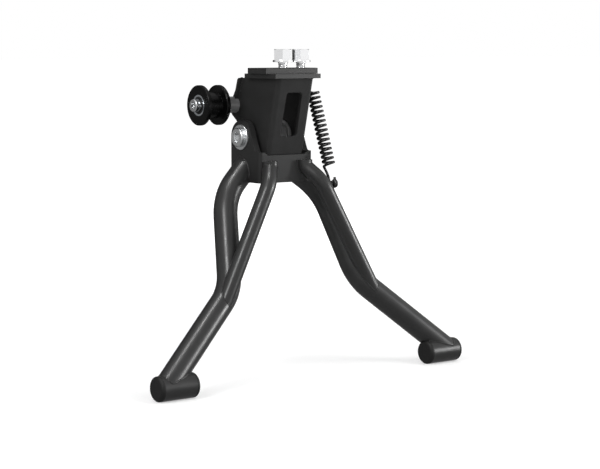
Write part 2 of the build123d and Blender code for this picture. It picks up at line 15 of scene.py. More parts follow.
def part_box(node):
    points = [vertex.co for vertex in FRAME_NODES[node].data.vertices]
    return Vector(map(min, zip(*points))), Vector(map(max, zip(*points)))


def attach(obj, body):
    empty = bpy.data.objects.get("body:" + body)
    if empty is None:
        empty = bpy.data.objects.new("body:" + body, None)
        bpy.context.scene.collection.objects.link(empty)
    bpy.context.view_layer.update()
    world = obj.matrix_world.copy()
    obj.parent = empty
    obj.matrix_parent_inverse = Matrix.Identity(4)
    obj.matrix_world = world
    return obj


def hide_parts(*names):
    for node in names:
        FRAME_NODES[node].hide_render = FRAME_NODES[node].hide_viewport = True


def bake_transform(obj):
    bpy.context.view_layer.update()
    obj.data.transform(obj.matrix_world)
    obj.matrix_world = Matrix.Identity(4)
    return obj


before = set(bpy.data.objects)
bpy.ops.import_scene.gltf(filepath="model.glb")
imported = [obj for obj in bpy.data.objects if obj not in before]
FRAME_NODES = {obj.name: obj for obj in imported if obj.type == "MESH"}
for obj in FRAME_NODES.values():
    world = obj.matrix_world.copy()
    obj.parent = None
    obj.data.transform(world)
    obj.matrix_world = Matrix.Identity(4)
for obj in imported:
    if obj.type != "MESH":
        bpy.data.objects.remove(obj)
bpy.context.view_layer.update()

LOG = logging.getLogger("centre_stand")
MM = 0.001
# Corners nearer than this are one corner that the tessellation split.
JOIN_MM = 0.002
# Faces that meet at more than this keep a sharp edge between them.
SHARP_DEG = 28.0
# Room for the bicycle's frame plate between the mounting plate and the bolts' collars.
FRAME_GAP_MM = 6.0
# Width of one ring of Blender's wave texture at scale 1.
WAVE_WIDTH = math.tau / 20
RING_WOBBLE = 1.5
RING_DETAIL = 2.0
NOISE_ROUGHNESS = 0.5
PATCH_DETAIL = 3.0
# Part of the patch noise's range that the gloss follows.
PATCH_SPAN = (0.3, 0.7)
EDGE_SAMPLES = 4
# Least length that a share is divided by.
TINY = 1e-9

Tree = bpy.types.NodeTree
Socket = bpy.types.NodeSocket
Span = tuple[float, float]
Faces = list[tuple[int, ...]]


def linear(hex_colour: str) -> tuple[float, float, float, float]:
    """Turns an sRGB hex colour into linear light.

    Args:
        hex_colour: six hex digits after a hash.

    Returns:
        Red, green, blue and full alpha.
    """
    parts = [int(hex_colour[i : i + 2], 16) / 255 for i in (1, 3, 5)]
    light = [p / 12.92 if p <= 0.04045 else ((p + 0.055) / 1.055) ** 2.4 for p in parts]
    return (light[0], light[1], light[2], 1.0)


WHITE = linear("#ffffff")


def add_node(tree: Tree, kind: str, inputs: Optional[dict] = None, **settings: Any) -> bpy.types.Node:
    """Adds one shader node with its settings, its values and its links.

    Args:
        tree: the tree that the node joins.
        kind: the node's type name.
        inputs: a value or a socket to link for each input, by name or by place.
        settings: properties of the node itself.

    Returns:
        The new node.
    """
    node = tree.nodes.new(kind)
    for name, value in settings.items():
        setattr(node, name, value)
    for name, value in (inputs or {}).items():
        if isinstance(value, Socket):
            tree.links.new(value, node.inputs[name])
        else:
            node.inputs[name].default_value = value
    return node


def add_object(name: str, data: bpy.types.ID) -> bpy.types.Object:
    """Puts a mesh, a lamp or a camera into the scene.

    Args:
        name: the object's name.
        data: what it shows.

    Returns:
        The new object.
    """
    thing = bpy.data.objects.new(name, data)
    bpy.context.scene.collection.objects.link(thing)
    return thing


def direction(azimuth_deg: float, elevation_deg: float) -> Vector:
    """Direction out from the object, where azimuth 0 is its front.

    Args:
        azimuth_deg: angle round the object.
        elevation_deg: angle above the floor.

    Returns:
        A direction of length 1.
    """
    azimuth, elevation = math.radians(azimuth_deg), math.radians(elevation_deg)
    level = math.cos(elevation)
    return Vector((math.sin(azimuth) * level, -math.cos(azimuth) * level, math.sin(elevation)))


def aim(thing: bpy.types.Object, way: Vector) -> None:
    """Turns a lamp or a camera to look along a direction."""
    thing.rotation_mode = "QUATERNION"
    thing.rotation_quaternion = way.to_track_quat("-Z", "Y")


def ring_faces(rings: int, corners: int, closed: bool) -> Faces:
    """Faces between rings of corners, with an end face on each end of an open row.

    Args:
        rings: how many rings there are.
        corners: how many corners each has.
        closed: whether the last ring joins the first.

    Returns:
        The corners of each face.
    """
    faces: Faces = []
    for ring in range(rings if closed else rings - 1):
        low, high = ring * corners, (ring + 1) % rings * corners
        for corner in range(corners):
            following = (corner + 1) % corners
            faces.append((low + corner, low + following, high + following, high + corner))
    if not closed:
        faces.append(tuple(reversed(range(corners))))
        faces.append(tuple(range((rings - 1) * corners, rings * corners)))
    return faces


class Grain(Enum):
    """How a surface was made, which sets how busy its noise is where no axle gives it rings."""

    ORANGE_PEEL = "sprayed and baked powder"
    MOULDED = "spark-eroded mould"
    TURNED = "turned on a lathe"
    PLATED = "barrel plated after rolling"
    DRAWN = "drawn wire"
    GROUND = "ground ring"


NOISE_DETAIL = {Grain.ORANGE_PEEL: 1.0, Grain.MOULDED: 5.0, Grain.PLATED: 3.0, Grain.DRAWN: 4.0}


class Axle(Enum):
    """Line that turned marks run round: its direction, and a CAD node that it passes through."""

    PIVOT = ("X", "pivot_bolt")
    ROLLER = ("X", "roller")

    def centre(self) -> Vector:
        """Middle of the node that the line passes through."""
        low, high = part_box(self.value[1])
        return (low + high) / 2


@dataclass(frozen=True)
class Finish:
    """One real surface: what it is made of, its colours, its gloss and its fine relief."""

    name: str
    colour: str
    second_colour: str
    roughness: float
    grain: Grain
    grain_mm: float
    relief_mm: float
    roughness_spread: float = 0.04
    metallic: float = 0.0
    ior: float = 1.5
    specular: float = 0.5
    mottle_mm: float = 14.0
    edge_mm: float = 0.3
    axle: Optional[Axle] = None

    def height(self, tree: Tree, place: Socket) -> Socket:
        """Fine relief of the surface, from 0 to 1: rings round an axle, or noise where there is none.

        Args:
            tree: the material's tree.
            place: position on the object, in metres.

        Returns:
            The socket that holds the height.
        """
        if self.axle:
            centred = add_node(
                tree, "ShaderNodeVectorMath", {0: place, 1: self.axle.centre()}, operation="SUBTRACT"
            ).outputs[0]
            return add_node(
                tree, "ShaderNodeTexWave",
                {
                    "Vector": centred, "Scale": WAVE_WIDTH / (self.grain_mm * MM),
                    "Distortion": RING_WOBBLE, "Detail": RING_DETAIL,
                },
                wave_type="RINGS", rings_direction=self.axle.value[0],
            ).outputs["Fac"]
        return add_node(
            tree, "ShaderNodeTexNoise",
            {
                "Vector": place, "Scale": 1 / (self.grain_mm * MM),
                "Detail": NOISE_DETAIL[self.grain], "Roughness": NOISE_ROUGHNESS,
            },
        ).outputs["Fac"]

    def material(self) -> bpy.types.Material:
        """Builds the material, or finds it if it is there already.

        Returns:
            The material with its nodes.
        """
        known = bpy.data.materials.get(self.name)
        if known:
            return known
        material = bpy.data.materials.new(self.name)
        material.use_nodes = True
        tree = material.node_tree
        tree.nodes.clear()
        place = add_node(tree, "ShaderNodeTexCoord").outputs["Object"]
        height = self.height(tree, place)
        patches = add_node(
            tree, "ShaderNodeTexNoise",
            {"Vector": place, "Scale": 1 / (self.mottle_mm * MM), "Detail": PATCH_DETAIL},
        ).outputs["Fac"]
        colour = add_node(
            tree, "ShaderNodeMix",
            {0: patches, 6: linear(self.colour), 7: linear(self.second_colour)}, data_type="RGBA",
        ).outputs[2]
        gloss = add_node(
            tree, "ShaderNodeMapRange",
            {
                "Value": patches, "From Min": PATCH_SPAN[0], "From Max": PATCH_SPAN[1],
                "To Min": self.roughness - self.roughness_spread,
                "To Max": self.roughness + self.roughness_spread,
            },
        ).outputs[0]
        edge = add_node(
            tree, "ShaderNodeBevel", {"Radius": self.edge_mm * MM}, samples=EDGE_SAMPLES
        ).outputs[0]
        relief = add_node(
            tree, "ShaderNodeBump",
            {"Height": height, "Distance": self.relief_mm * MM, "Strength": 1.0, "Normal": edge},
        ).outputs[0]
        shader = add_node(
            tree, "ShaderNodeBsdfPrincipled",
            {
                "Base Color": colour, "Roughness": gloss, "Metallic": self.metallic, "IOR": self.ior,
                "Specular IOR Level": self.specular, "Normal": relief,
            },
        )
        add_node(tree, "ShaderNodeOutputMaterial", {"Surface": shader.outputs[0]})
        return material


# Orange peel has its real waves of one to two millimetres. Plating, mould grain and the marks of drawing,
# turning and grinding are too fine to show in the render, and are drawn as coarse as they need to show.

# Powder coat on folded sheet: near black and satin, its slight orange peel softens each reflection.
SHEET_COAT = Finish(
    "powder_coat_on_sheet", "#202020", "#262626", roughness=0.45, grain=Grain.ORANGE_PEEL, grain_mm=1.5,
    relief_mm=0.010, specular=0.12, edge_mm=0.5,
)
# The same powder on the flat plates, cured a little glossier, so their front edges are the lightest.
PLATE_COAT = Finish(
    "powder_coat_on_plate", "#1e1e1e", "#242424", roughness=0.4, grain=Grain.ORANGE_PEEL, grain_mm=1.3,
    relief_mm=0.006, specular=0.19, edge_mm=0.5,
)
# The same powder on drawn tube: the tube's own smoothness gives it long soft streaks of light.
TUBE_COAT = Finish(
    "powder_coat_on_tube", "#212121", "#272727", roughness=0.35, grain=Grain.ORANGE_PEEL, grain_mm=1.8,
    relief_mm=0.005, specular=0.26, edge_mm=0.4,
)
# Turned boss, pivot tube and collars in a mid grey, lighter than the black paint around them: painted light,
# so that they still show lit inside the bracket's shade.
PAINTED_LIGHT_GREY = Finish(
    "grey_with_painted_light", "#606060", "#6c6c6c", roughness=0.36, grain=Grain.PLATED, grain_mm=0.9,
    relief_mm=0.006, specular=0.5, edge_mm=0.4, mottle_mm=6.0,
)
# Polypropylene cap: matt and a little softer than the paint, with the dull grain of its mould.
CAP_POLYPROPYLENE = Finish(
    "moulded_polypropylene", "#161616", "#1b1b1b", roughness=0.55, grain=Grain.MOULDED, grain_mm=0.6,
    relief_mm=0.012, specular=0.15, ior=1.49,
)
# Zinc plate on a cold-headed bolt: pale silver, bright where it turns to the light.
BRIGHT_ZINC = Finish(
    "bright_zinc_plate", "#f2f2f3", "#e8e9ea", roughness=0.17, grain=Grain.PLATED, grain_mm=0.7,
    relief_mm=0.002, metallic=1.0, edge_mm=0.25, mottle_mm=5.0,
)
# Nickel plate on turned steel: darker than zinc, with fine rings that draw the light into arcs.
TURNED_NICKEL = Finish(
    "turned_nickel_plate", "#cfd0d1", "#c2c4c5", roughness=0.28, grain=Grain.TURNED, grain_mm=0.5,
    relief_mm=0.001, metallic=1.0, edge_mm=0.3, mottle_mm=6.0, axle=Axle.PIVOT,
)
# The same plate on the roller's screw and washer.
ROLLER_NICKEL = Finish(
    "roller_nickel_plate", "#c4c5c6", "#b5b7b8", roughness=0.27, grain=Grain.TURNED, grain_mm=0.45,
    relief_mm=0.0015, metallic=1.0, edge_mm=0.2, mottle_mm=5.0, axle=Axle.ROLLER,
)
# Ground bearing steel: a cool even grey with hair-fine rings.
GROUND_STEEL = Finish(
    "ground_bearing_steel", "#c2c6ca", "#b2b6ba", roughness=0.2, grain=Grain.GROUND, grain_mm=0.4,
    relief_mm=0.003, metallic=1.0, edge_mm=0.15, mottle_mm=5.0, axle=Axle.ROLLER,
)
# Nitrile rubber seal: dead black and dull, so that the bearing's rings stand out beside it.
NITRILE = Finish(
    "nitrile_rubber", "#0e0e0f", "#131314", roughness=0.6, grain=Grain.MOULDED, grain_mm=0.4,
    relief_mm=0.01, specular=0.3, ior=1.52, mottle_mm=4.0, edge_mm=0.1,
)
# Acetal bush: dark grey and waxy, with faint turning marks.
ACETAL = Finish(
    "turned_acetal", "#2a2b2c", "#323334", roughness=0.4, grain=Grain.TURNED, grain_mm=0.6,
    relief_mm=0.006, specular=0.4, ior=1.48, axle=Axle.PIVOT,
)
# Glass-filled nylon roller: jet black with a tight sheen along its hub and rims.
NYLON = Finish(
    "turned_nylon", "#030303", "#060606", roughness=0.28, grain=Grain.TURNED, grain_mm=0.7,
    relief_mm=0.0003, specular=0.10, ior=1.53, axle=Axle.ROLLER, edge_mm=0.3,
)
# Blackened spring wire: dark oxide over drawn steel, so only thin lines of light run along each turn.
BLACK_OXIDE = Finish(
    "black_oxide_wire", "#0b0b0b", "#101010", roughness=0.35, grain=Grain.DRAWN, grain_mm=0.5,
    relief_mm=0.006, specular=0.2, ior=1.6, edge_mm=0.05, mottle_mm=4.0,
)


def dress(names: Iterable[str], finish: Finish) -> None:
    """Gives CAD nodes their finish.

    Args:
        names: the nodes' names.
        finish: what their surface is.
    """
    material = finish.material()
    for name in names:
        mesh = FRAME_NODES[name].data
        mesh.materials.clear()
        mesh.materials.append(material)
        mesh.polygons.foreach_set("material_index", [0] * len(mesh.polygons))


def make_piece(
    name: str, vertices: list[Vector], faces: Faces, body: str, finish: Finish
) -> bpy.types.Object:
    """Makes a smooth-shaded mesh piece that rides on a body.

    Args:
        name: the piece's name.
        vertices: its corners, in metres in the frame.
        faces: corners of each face.
        body: the body that carries it.
        finish: its surface.

    Returns:
        The new piece.
    """
    mesh = bpy.data.meshes.new(name)
    mesh.from_pydata(vertices, [], faces)
    mesh.validate()
    mesh.polygons.foreach_set("use_smooth", [True] * len(mesh.polygons))
    mesh.materials.append(finish.material())
    piece = add_object(name, mesh)
    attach(piece, body)
    LOG.info("%s: %d faces", name, len(mesh.polygons))
    return piece


class Shape:
    """A CAD node's surface, ready to be searched for the seams where another piece meets it."""

    def __init__(self, name: str) -> None:
        """Reads a node's mesh and joins its split corners.

        Args:
            name: the node's name.
        """
        self.mesh = bmesh.new()
        self.mesh.from_mesh(FRAME_NODES[name].data)
        bmesh.ops.remove_doubles(self.mesh, verts=self.mesh.verts, dist=JOIN_MM * MM)
        self.mesh.normal_update()
        self.tree = BVHTree.FromBMesh(self.mesh)

    def near(self, point: Vector, reach: float) -> bool:
        """True if the surface comes within reach of a point."""
        return self.tree.find_nearest(point, reach)[0] is not None


@dataclass
class Seam:
    """Line along which one node meets another, with the way out of the corner between them."""

    part: str
    carrier: str
    contact_mm: float = 0.06
    sharp_deg: float = 18.0
    bore_mm: float = 25.0
    lift_mm: float = 0.1
    ground_mm: float = 0.5

    def edges(self, part: Shape, carrier: Shape) -> list[tuple[bmesh.types.BMEdge, Vector]]:
        """Outer edges of the faces that the two nodes share.

        Args:
            part: surface of the piece that is welded on.
            carrier: surface that it stands on.

        Returns:
            Each edge with the direction out of its corner.
        """
        found = []
        reach = self.contact_mm * MM
        for edge in part.mesh.edges:
            if len(edge.link_faces) != 2 or edge.calc_face_angle(0.0) < math.radians(self.sharp_deg):
                continue
            if not all(carrier.near(v.co, reach) for v in edge.verts):
                continue
            gaps = [carrier.tree.find_nearest(f.calc_center_median())[3] for f in edge.link_faces]
            if min(gaps) > reach or max(gaps) <= reach:
                continue
            free = edge.link_faces[gaps.index(max(gaps))]
            middle = (edge.verts[0].co + edge.verts[1].co) / 2
            start = middle + free.normal * self.lift_mm * MM
            if part.tree.ray_cast(start, free.normal, self.bore_mm * MM)[0] is not None:
                continue
            ground = carrier.tree.find_nearest(middle + free.normal * self.ground_mm * MM)[1]
            found.append((edge, (free.normal + ground).normalized()))
        return found

    def lines(self) -> list[tuple[list[Vector], list[Vector], bool]]:
        """Chains the edges into lines.

        Returns:
            Points, ways out and whether the line is closed, for each line.
        """
        part, carrier = Shape(self.part), Shape(self.carrier)
        found = self.edges(part, carrier)
        out: dict[int, Vector] = {}
        beside: dict[int, list[int]] = {}
        places: dict[int, Vector] = {}
        for edge, way in found:
            a, b = edge.verts
            for vertex, other in ((a, b), (b, a)):
                out[vertex.index] = out.get(vertex.index, Vector()) + way
                beside.setdefault(vertex.index, []).append(other.index)
                places[vertex.index] = vertex.co.copy()
        lines = []
        left = set(places)
        while left:
            ends = sorted(i for i in left if len(beside[i]) == 1)
            current = ends[0] if ends else min(left)
            chain = [current]
            left.discard(current)
            while True:
                following = [i for i in beside[current] if i in left]
                if not following:
                    break
                current = following[0]
                left.discard(current)
                chain.append(current)
            closed = len(chain) > 3 and chain[0] in beside[chain[-1]]
            lines.append(([places[i] for i in chain], [out[i].normalized() for i in chain], closed))
        return lines


@dataclass
class WeldBead:
    """Rippled bead of weld metal, painted over with the parts that it joins."""

    name: str
    seam: Seam
    body: str
    slot: str
    finish: Finish
    radius_mm: float = 0.75
    ripple_mm: float = 1.3
    ripple_depth: float = 0.10
    step_mm: float = 0.3
    sides: int = 10
    shortest_mm: float = 6.0
    lean: float = 0.45
    fewest_steps: int = 8
    smoothings: int = 6
    end_scale: float = 0.35
    taper_steps: int = 5

    def evened(
        self, points: list[Vector], ways: list[Vector], closed: bool
    ) -> tuple[list[Vector], list[Vector], float]:
        """Spreads a line's points evenly and smooths their corners.

        Args:
            points: the line's points.
            ways: direction out of the corner at each point.
            closed: whether the line runs round.

        Returns:
            The new points, their ways out and the line's length.
        """
        if closed:
            points, ways = points + points[:1], ways + ways[:1]
        runs = [0.0]
        for a, b in zip(points, points[1:]):
            runs.append(runs[-1] + (b - a).length)
        count = max(self.fewest_steps, round(runs[-1] / (self.step_mm * MM)))
        places, outs, span = [], [], 0
        for i in range(count if closed else count + 1):
            at = runs[-1] * i / count
            while span < len(runs) - 2 and runs[span + 1] < at:
                span += 1
            share = (at - runs[span]) / max(runs[span + 1] - runs[span], TINY)
            places.append(points[span].lerp(points[span + 1], min(share, 1.0)))
            outs.append(ways[span].lerp(ways[span + 1], min(share, 1.0)))
        for _ in range(self.smoothings):
            size = len(places)
            for series in (places, outs):
                old = list(series)
                for i in range(size):
                    if closed or 0 < i < size - 1:
                        series[i] = old[i] * 0.5 + (old[i - 1] + old[(i + 1) % size]) * 0.25
        return places, [way.normalized() for way in outs], runs[-1]

    def ring(self, place: Vector, way: Vector, along: Vector, run: float, scale: float) -> list[Vector]:
        """One round of the bead's corners, pushed out where a ripple stands.

        Args:
            place: middle of the ring.
            way: direction out of the corner.
            along: direction of the line.
            run: distance from the line's start.
            scale: size of this ring against the full bead.

        Returns:
            The ring's corners.
        """
        across = along.cross(way).normalized()
        up = across.cross(along).normalized()
        corners = []
        for i in range(self.sides):
            angle = math.tau * i / self.sides
            behind = run / (self.ripple_mm * MM) + self.lean * math.cos(angle)
            swell = 1 + self.ripple_depth * (abs(math.sin(math.pi * behind)) - 0.5)
            spread = (up * math.cos(angle) + across * math.sin(angle)) * self.radius_mm * MM * swell * scale
            corners.append(place + spread)
        return corners

    def build(self) -> None:
        """Lays one bead along each line of the seam."""
        count = 0
        for points, ways, closed in self.seam.lines():
            places, outs, length = self.evened(points, ways, closed)
            if length < self.shortest_mm * MM:
                continue
            size = len(places)
            vertices: list[Vector] = []
            for i, (place, way) in enumerate(zip(places, outs)):
                if closed:
                    along = places[(i + 1) % size] - places[i - 1]
                else:
                    along = places[min(i + 1, size - 1)] - places[max(i - 1, 0)]
                from_end = size if closed else min(i, size - 1 - i)
                full = math.sin(min(from_end / self.taper_steps, 1.0) * math.pi / 2)
                scale = min(1.0, self.end_scale + (1 - self.end_scale) * full)
                vertices += self.ring(place, way, along.normalized(), length * i / size, scale)
            faces = ring_faces(size, self.sides, closed)
            count += 1
            make_piece(f"{self.name}_{count}", vertices, faces, self.body, self.finish)
        LOG.info("%s: %d beads", self.name, count)


@dataclass
class Thread:
    """Outline of a metric screw thread along its screw."""

    pitch_mm: float
    depth_mm: float
    crest_share: float = 0.125
    root_share: float = 0.25

    def cut(self, along_mm: float, angle: float) -> float:
        """Depth of the groove at a place on the screw.

        Args:
            along_mm: distance along the screw.
            angle: direction round it, in radians.

        Returns:
            Depth below the crest, in millimetres.
        """
        phase = (along_mm / self.pitch_mm + angle / math.tau) % 1.0
        climb = (abs(2 * phase - 1) - self.crest_share) / (1 - self.crest_share - self.root_share)
        return self.depth_mm * min(1.0, max(0.0, climb))


@dataclass
class Turning:
    """Surface laid in rings round an axis, each ring a radius and a height at every direction."""

    spokes: int = 72
    turn_deg: float = 0.0
    bored: bool = False

    def __post_init__(self) -> None:
        """Starts with no rings."""
        self.rings: list[list[tuple[float, float]]] = []

    def angle(self, spoke: int) -> float:
        """Direction of a spoke, in radians."""
        return math.radians(self.turn_deg) + math.tau * spoke / self.spokes

    def hexagon(self, spoke: int, flats_mm: float) -> float:
        """Radius of a hexagon in a spoke's direction, with a corner at the first spoke."""
        beside = (math.tau * spoke / self.spokes) % (math.pi / 3) - math.pi / 6
        return flats_mm / 2 / math.cos(beside)

    def round_ring(self, radius_mm: float, height_mm: float) -> None:
        """Adds a round ring."""
        self.rings.append([(radius_mm, height_mm)] * self.spokes)

    def hex_ring(
        self, flats_mm: float, height_mm: float, chamfer: int = 0, slope_deg: float = 30.0
    ) -> None:
        """Adds a ring round a hexagon, lowered at the corners where a chamfer cuts them.

        Args:
            flats_mm: distance across the flats.
            height_mm: height at the middle of each flat.
            chamfer: 1 lowers the corners, -1 raises them and 0 leaves the ring flat.
            slope_deg: slope of the chamfer.
        """
        ring = []
        for spoke in range(self.spokes):
            radius = self.hexagon(spoke, flats_mm)
            drop = (radius - flats_mm / 2) * math.tan(math.radians(slope_deg))
            ring.append((radius, height_mm - chamfer * drop))
        self.rings.append(ring)

    def threaded(
        self, radius_mm: float, start_mm: float, end_mm: float, thread: Thread,
        runout_mm: float = 1.2, rings_a_turn: int = 12,
    ) -> None:
        """Adds rings along a thread that fades out at its start.

        Args:
            radius_mm: radius of the crest.
            start_mm: height where the thread fades out.
            end_mm: height where it ends.
            thread: its outline.
            runout_mm: length over which it fades.
            rings_a_turn: rings for each turn of the thread.
        """
        count = max(2, round(abs(end_mm - start_mm) / thread.pitch_mm * rings_a_turn))
        for i in range(count + 1):
            height = start_mm + (end_mm - start_mm) * i / count
            fade = min(1.0, abs(height - start_mm) / runout_mm)
            self.rings.append(
                [(radius_mm - thread.cut(height, self.angle(s)) * fade, height) for s in range(self.spokes)]
            )

    def build(
        self, name: str, centre: Vector, axis: Vector, across: Vector, body: str, slot: str, finish: Finish
    ) -> bpy.types.Object:
        """Makes the piece from its rings: closed by end faces, or bored, with last ring joined to first.

        Args:
            name: the piece's name.
            centre: origin of the heights, in metres.
            axis: direction of the heights.
            across: direction of the angle 0.
            body: the body that carries it.
            slot: the record's material slot; not used.
            finish: its surface.

        Returns:
            The piece.
        """
        side = axis.cross(across)
        vertices = []
        for ring in self.rings:
            for spoke, (radius, height) in enumerate(ring):
                way = across * math.cos(self.angle(spoke)) + side * math.sin(self.angle(spoke))
                vertices.append(centre + (way * radius + axis * height) * MM)
        faces = ring_faces(len(self.rings), self.spokes, self.bored)
        piece = make_piece(name, vertices, faces, body, finish)
        piece.data.set_sharp_from_angle(angle=math.radians(SHARP_DEG))
        return piece


@dataclass
class MountingBolt:
    """Flanged hexagon bolt with its thread, which clamps the bicycle's frame."""

    side: str
    flats_mm: float = 17.4
    collar_radius_mm: float = 10.4
    collar_mm: float = 2.1
    collar_rim_mm: float = 1.2
    collar_edge_mm: float = 0.25
    head_foot_mm: float = 0.05
    crown_radius_mm: float = 6.2
    crown_dip_mm: float = 0.35
    crown_slope_mm: float = 0.6
    crown_centre_mm: float = 0.5
    shank_radius_mm: float = 4.9
    neck_mm: float = 0.9
    end_chamfer_mm: float = 1.0
    turn_deg: float = -7.0
    thread: Thread = field(default_factory=lambda: Thread(1.5, 0.8))

    def build(self) -> None:
        """Turns the bolt and hides its plain solid."""
        node = f"mounting_bolt_{self.side}"
        low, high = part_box(node)
        length = (high.z - low.z) / MM
        grip = -low.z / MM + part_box("mounting_plate")[1].z / MM + FRAME_GAP_MM
        bolt = Turning(turn_deg=self.turn_deg)
        bolt.round_ring(self.shank_radius_mm - self.end_chamfer_mm, 0)
        start, end = grip - self.neck_mm, self.end_chamfer_mm
        shank = Turning(turn_deg=self.turn_deg)
        shank.threaded(self.shank_radius_mm, start, end, self.thread)
        bolt.rings += reversed(shank.rings)
        bolt.round_ring(self.shank_radius_mm, grip)
        bolt.round_ring(self.collar_radius_mm - self.collar_edge_mm, grip)
        bolt.round_ring(self.collar_radius_mm, grip + self.collar_edge_mm)
        bolt.round_ring(self.collar_radius_mm, grip + self.collar_rim_mm)
        corner_mm = self.flats_mm / 2 / math.cos(math.pi / 6)
        bolt.round_ring(corner_mm + self.head_foot_mm, grip + self.collar_mm)
        bolt.hex_ring(self.flats_mm, grip + self.collar_mm)
        bolt.hex_ring(self.flats_mm, length, chamfer=1)
        bolt.round_ring(self.flats_mm / 2, length)
        bolt.round_ring(self.crown_radius_mm, length)
        bolt.round_ring(self.crown_radius_mm - self.crown_slope_mm, length - self.crown_dip_mm)
        bolt.round_ring(self.crown_centre_mm, length - self.crown_dip_mm)
        centre = Vector(((low.x + high.x) / 2, (low.y + high.y) / 2, low.z))
        up, across = Vector((0, 0, 1)), Vector((1, 0, 0))
        piece = bolt.build(f"{node}_threaded", centre, up, across, "base", "bolt_steel", BRIGHT_ZINC)
        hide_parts(node)


@dataclass
class PivotNut:
    """Hexagon nut with both faces chamfered, run onto the pivot bolt."""

    flats_mm: float = 19.0
    bore_mm: float = 6.0
    bore_mouth_mm: float = 0.7
    turn_deg: float = 30.0

    def build(self) -> None:
        """Makes the nut and hides its plain solid."""
        low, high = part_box("pivot_nut")
        width = (high.x - low.x) / MM
        nut = Turning(turn_deg=self.turn_deg, bored=True)
        nut.round_ring(self.bore_mm, self.bore_mouth_mm)
        nut.round_ring(self.bore_mm + self.bore_mouth_mm, 0)
        nut.round_ring(self.flats_mm / 2, 0)
        nut.hex_ring(self.flats_mm, 0, chamfer=-1)
        nut.hex_ring(self.flats_mm, width, chamfer=1)
        nut.round_ring(self.flats_mm / 2, width)
        nut.round_ring(self.bore_mm + self.bore_mouth_mm, width)
        nut.round_ring(self.bore_mm, width - self.bore_mouth_mm)
        centre = Vector((low.x, (low.y + high.y) / 2, (low.z + high.z) / 2))
        axis, across = Vector((1, 0, 0)), Vector((0, 1, 0))
        piece = nut.build(
            "pivot_nut_chamfered", centre, axis, across, "stand", "pivot_steel", TURNED_NICKEL
        )
        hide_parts("pivot_nut")


@dataclass
class Carrier:
    """Mounting plates, folded bracket and the two bolts that clamp the bicycle's frame."""

    plates: tuple[str, ...] = ("mounting_plate", "flange_plate")
    sheets: tuple[str, ...] = ("bracket", "roller_gusset")
    turned: tuple[str, ...] = ("roller_boss", "pivot_tube", "pivot_collar_left", "pivot_collar_right")
    bolts: tuple[MountingBolt, ...] = (MountingBolt("left"), MountingBolt("right"))
    bead_mm: float = 0.7

    def build(self) -> None:
        """Dresses the plates and the bracket, makes the bolts and lays the welds."""
        dress(self.plates, PLATE_COAT)
        dress(self.sheets, SHEET_COAT)
        # The boss, pivot tube and collars get a grey whose lightness is painted light for their shaded
        # places.
        dress(self.turned, PAINTED_LIGHT_GREY)
        for bolt in self.bolts:
            bolt.build()
        for name, part, carrier in (
            ("weld_bracket_flange", "bracket", "flange_plate"),
            ("weld_gusset_bracket", "roller_gusset", "bracket"),
            ("weld_boss_bracket", "roller_boss", "bracket"),
        ):
            seam = Seam(part, carrier)
            WeldBead(name, seam, "base", "bracket_paint", SHEET_COAT, radius_mm=self.bead_mm).build()
        LOG.info("carrier: %d nodes", len(self.plates + self.sheets + self.turned))


@dataclass
class Pivot:
    """Bolt, nut, washers and bushes that the legs turn on."""

    metal: tuple[str, ...] = ("pivot_bolt", "pivot_washer_left", "pivot_washer_right")
    bushes: tuple[str, ...] = (
        "pivot_bush_left", "pivot_bush_right", "thrust_washer_left", "thrust_washer_right"
    )

    def build(self) -> None:
        """Dresses the pivot's metal and its bushes, and makes the nut."""
        dress(self.metal, TURNED_NICKEL)
        PivotNut().build()
        dress(self.bushes, ACETAL)
        LOG.info("pivot: %d nodes", len(self.metal + self.bushes))


@dataclass
class Legs:
    """Yoke, two bent tubes with their struts, and the capped feet."""

    sides: tuple[str, str] = ("left", "right")
    ends: tuple[str, str] = ("inner", "outer")

    def build(self) -> None:
        """Dresses the legs and welds them together."""
        dress(["yoke"], SHEET_COAT)
        for side in self.sides:
            dress([f"main_tube_{side}", f"strut_{side}", f"foot_tube_{side}"], TUBE_COAT)
            dress([f"foot_cap_{side}_{end}" for end in self.ends], CAP_POLYPROPYLENE)
            for name, part, carrier, radius_mm in (
                (f"weld_{side}_leg_yoke", f"main_tube_{side}", "yoke", 0.6),
                (f"weld_{side}_strut_yoke", f"strut_{side}", "yoke", 0.45),
                (f"weld_{side}_strut_leg", f"strut_{side}", f"main_tube_{side}", 0.6),
                (f"weld_{side}_leg_foot", f"main_tube_{side}", f"foot_tube_{side}", 0.75),
            ):
                seam = Seam(part, carrier)
                WeldBead(name, seam, "stand", "tube_paint", TUBE_COAT, radius_mm=radius_mm).build()
        LOG.info("legs: two sides dressed and welded")


@dataclass
class ChainRoller:
    """Grooved roller on two sealed bearings, held by a socket screw."""

    sides: tuple[str, str] = ("left", "right")

    def build(self) -> None:
        """Dresses the roller, its bearings and its screw."""
        dress(["roller"], NYLON)
        dress(["roller_screw", "roller_washer"], ROLLER_NICKEL)
        dress(["roller_shim", "roller_distance_tube"], GROUND_STEEL)
        for side in self.sides:
            rings = [f"bearing_{side}_{piece}" for piece in ("outer_ring", "inner_ring", "balls")]
            dress(rings, GROUND_STEEL)
            dress([f"bearing_{side}_seal"], NITRILE)
        LOG.info("chain roller dressed")


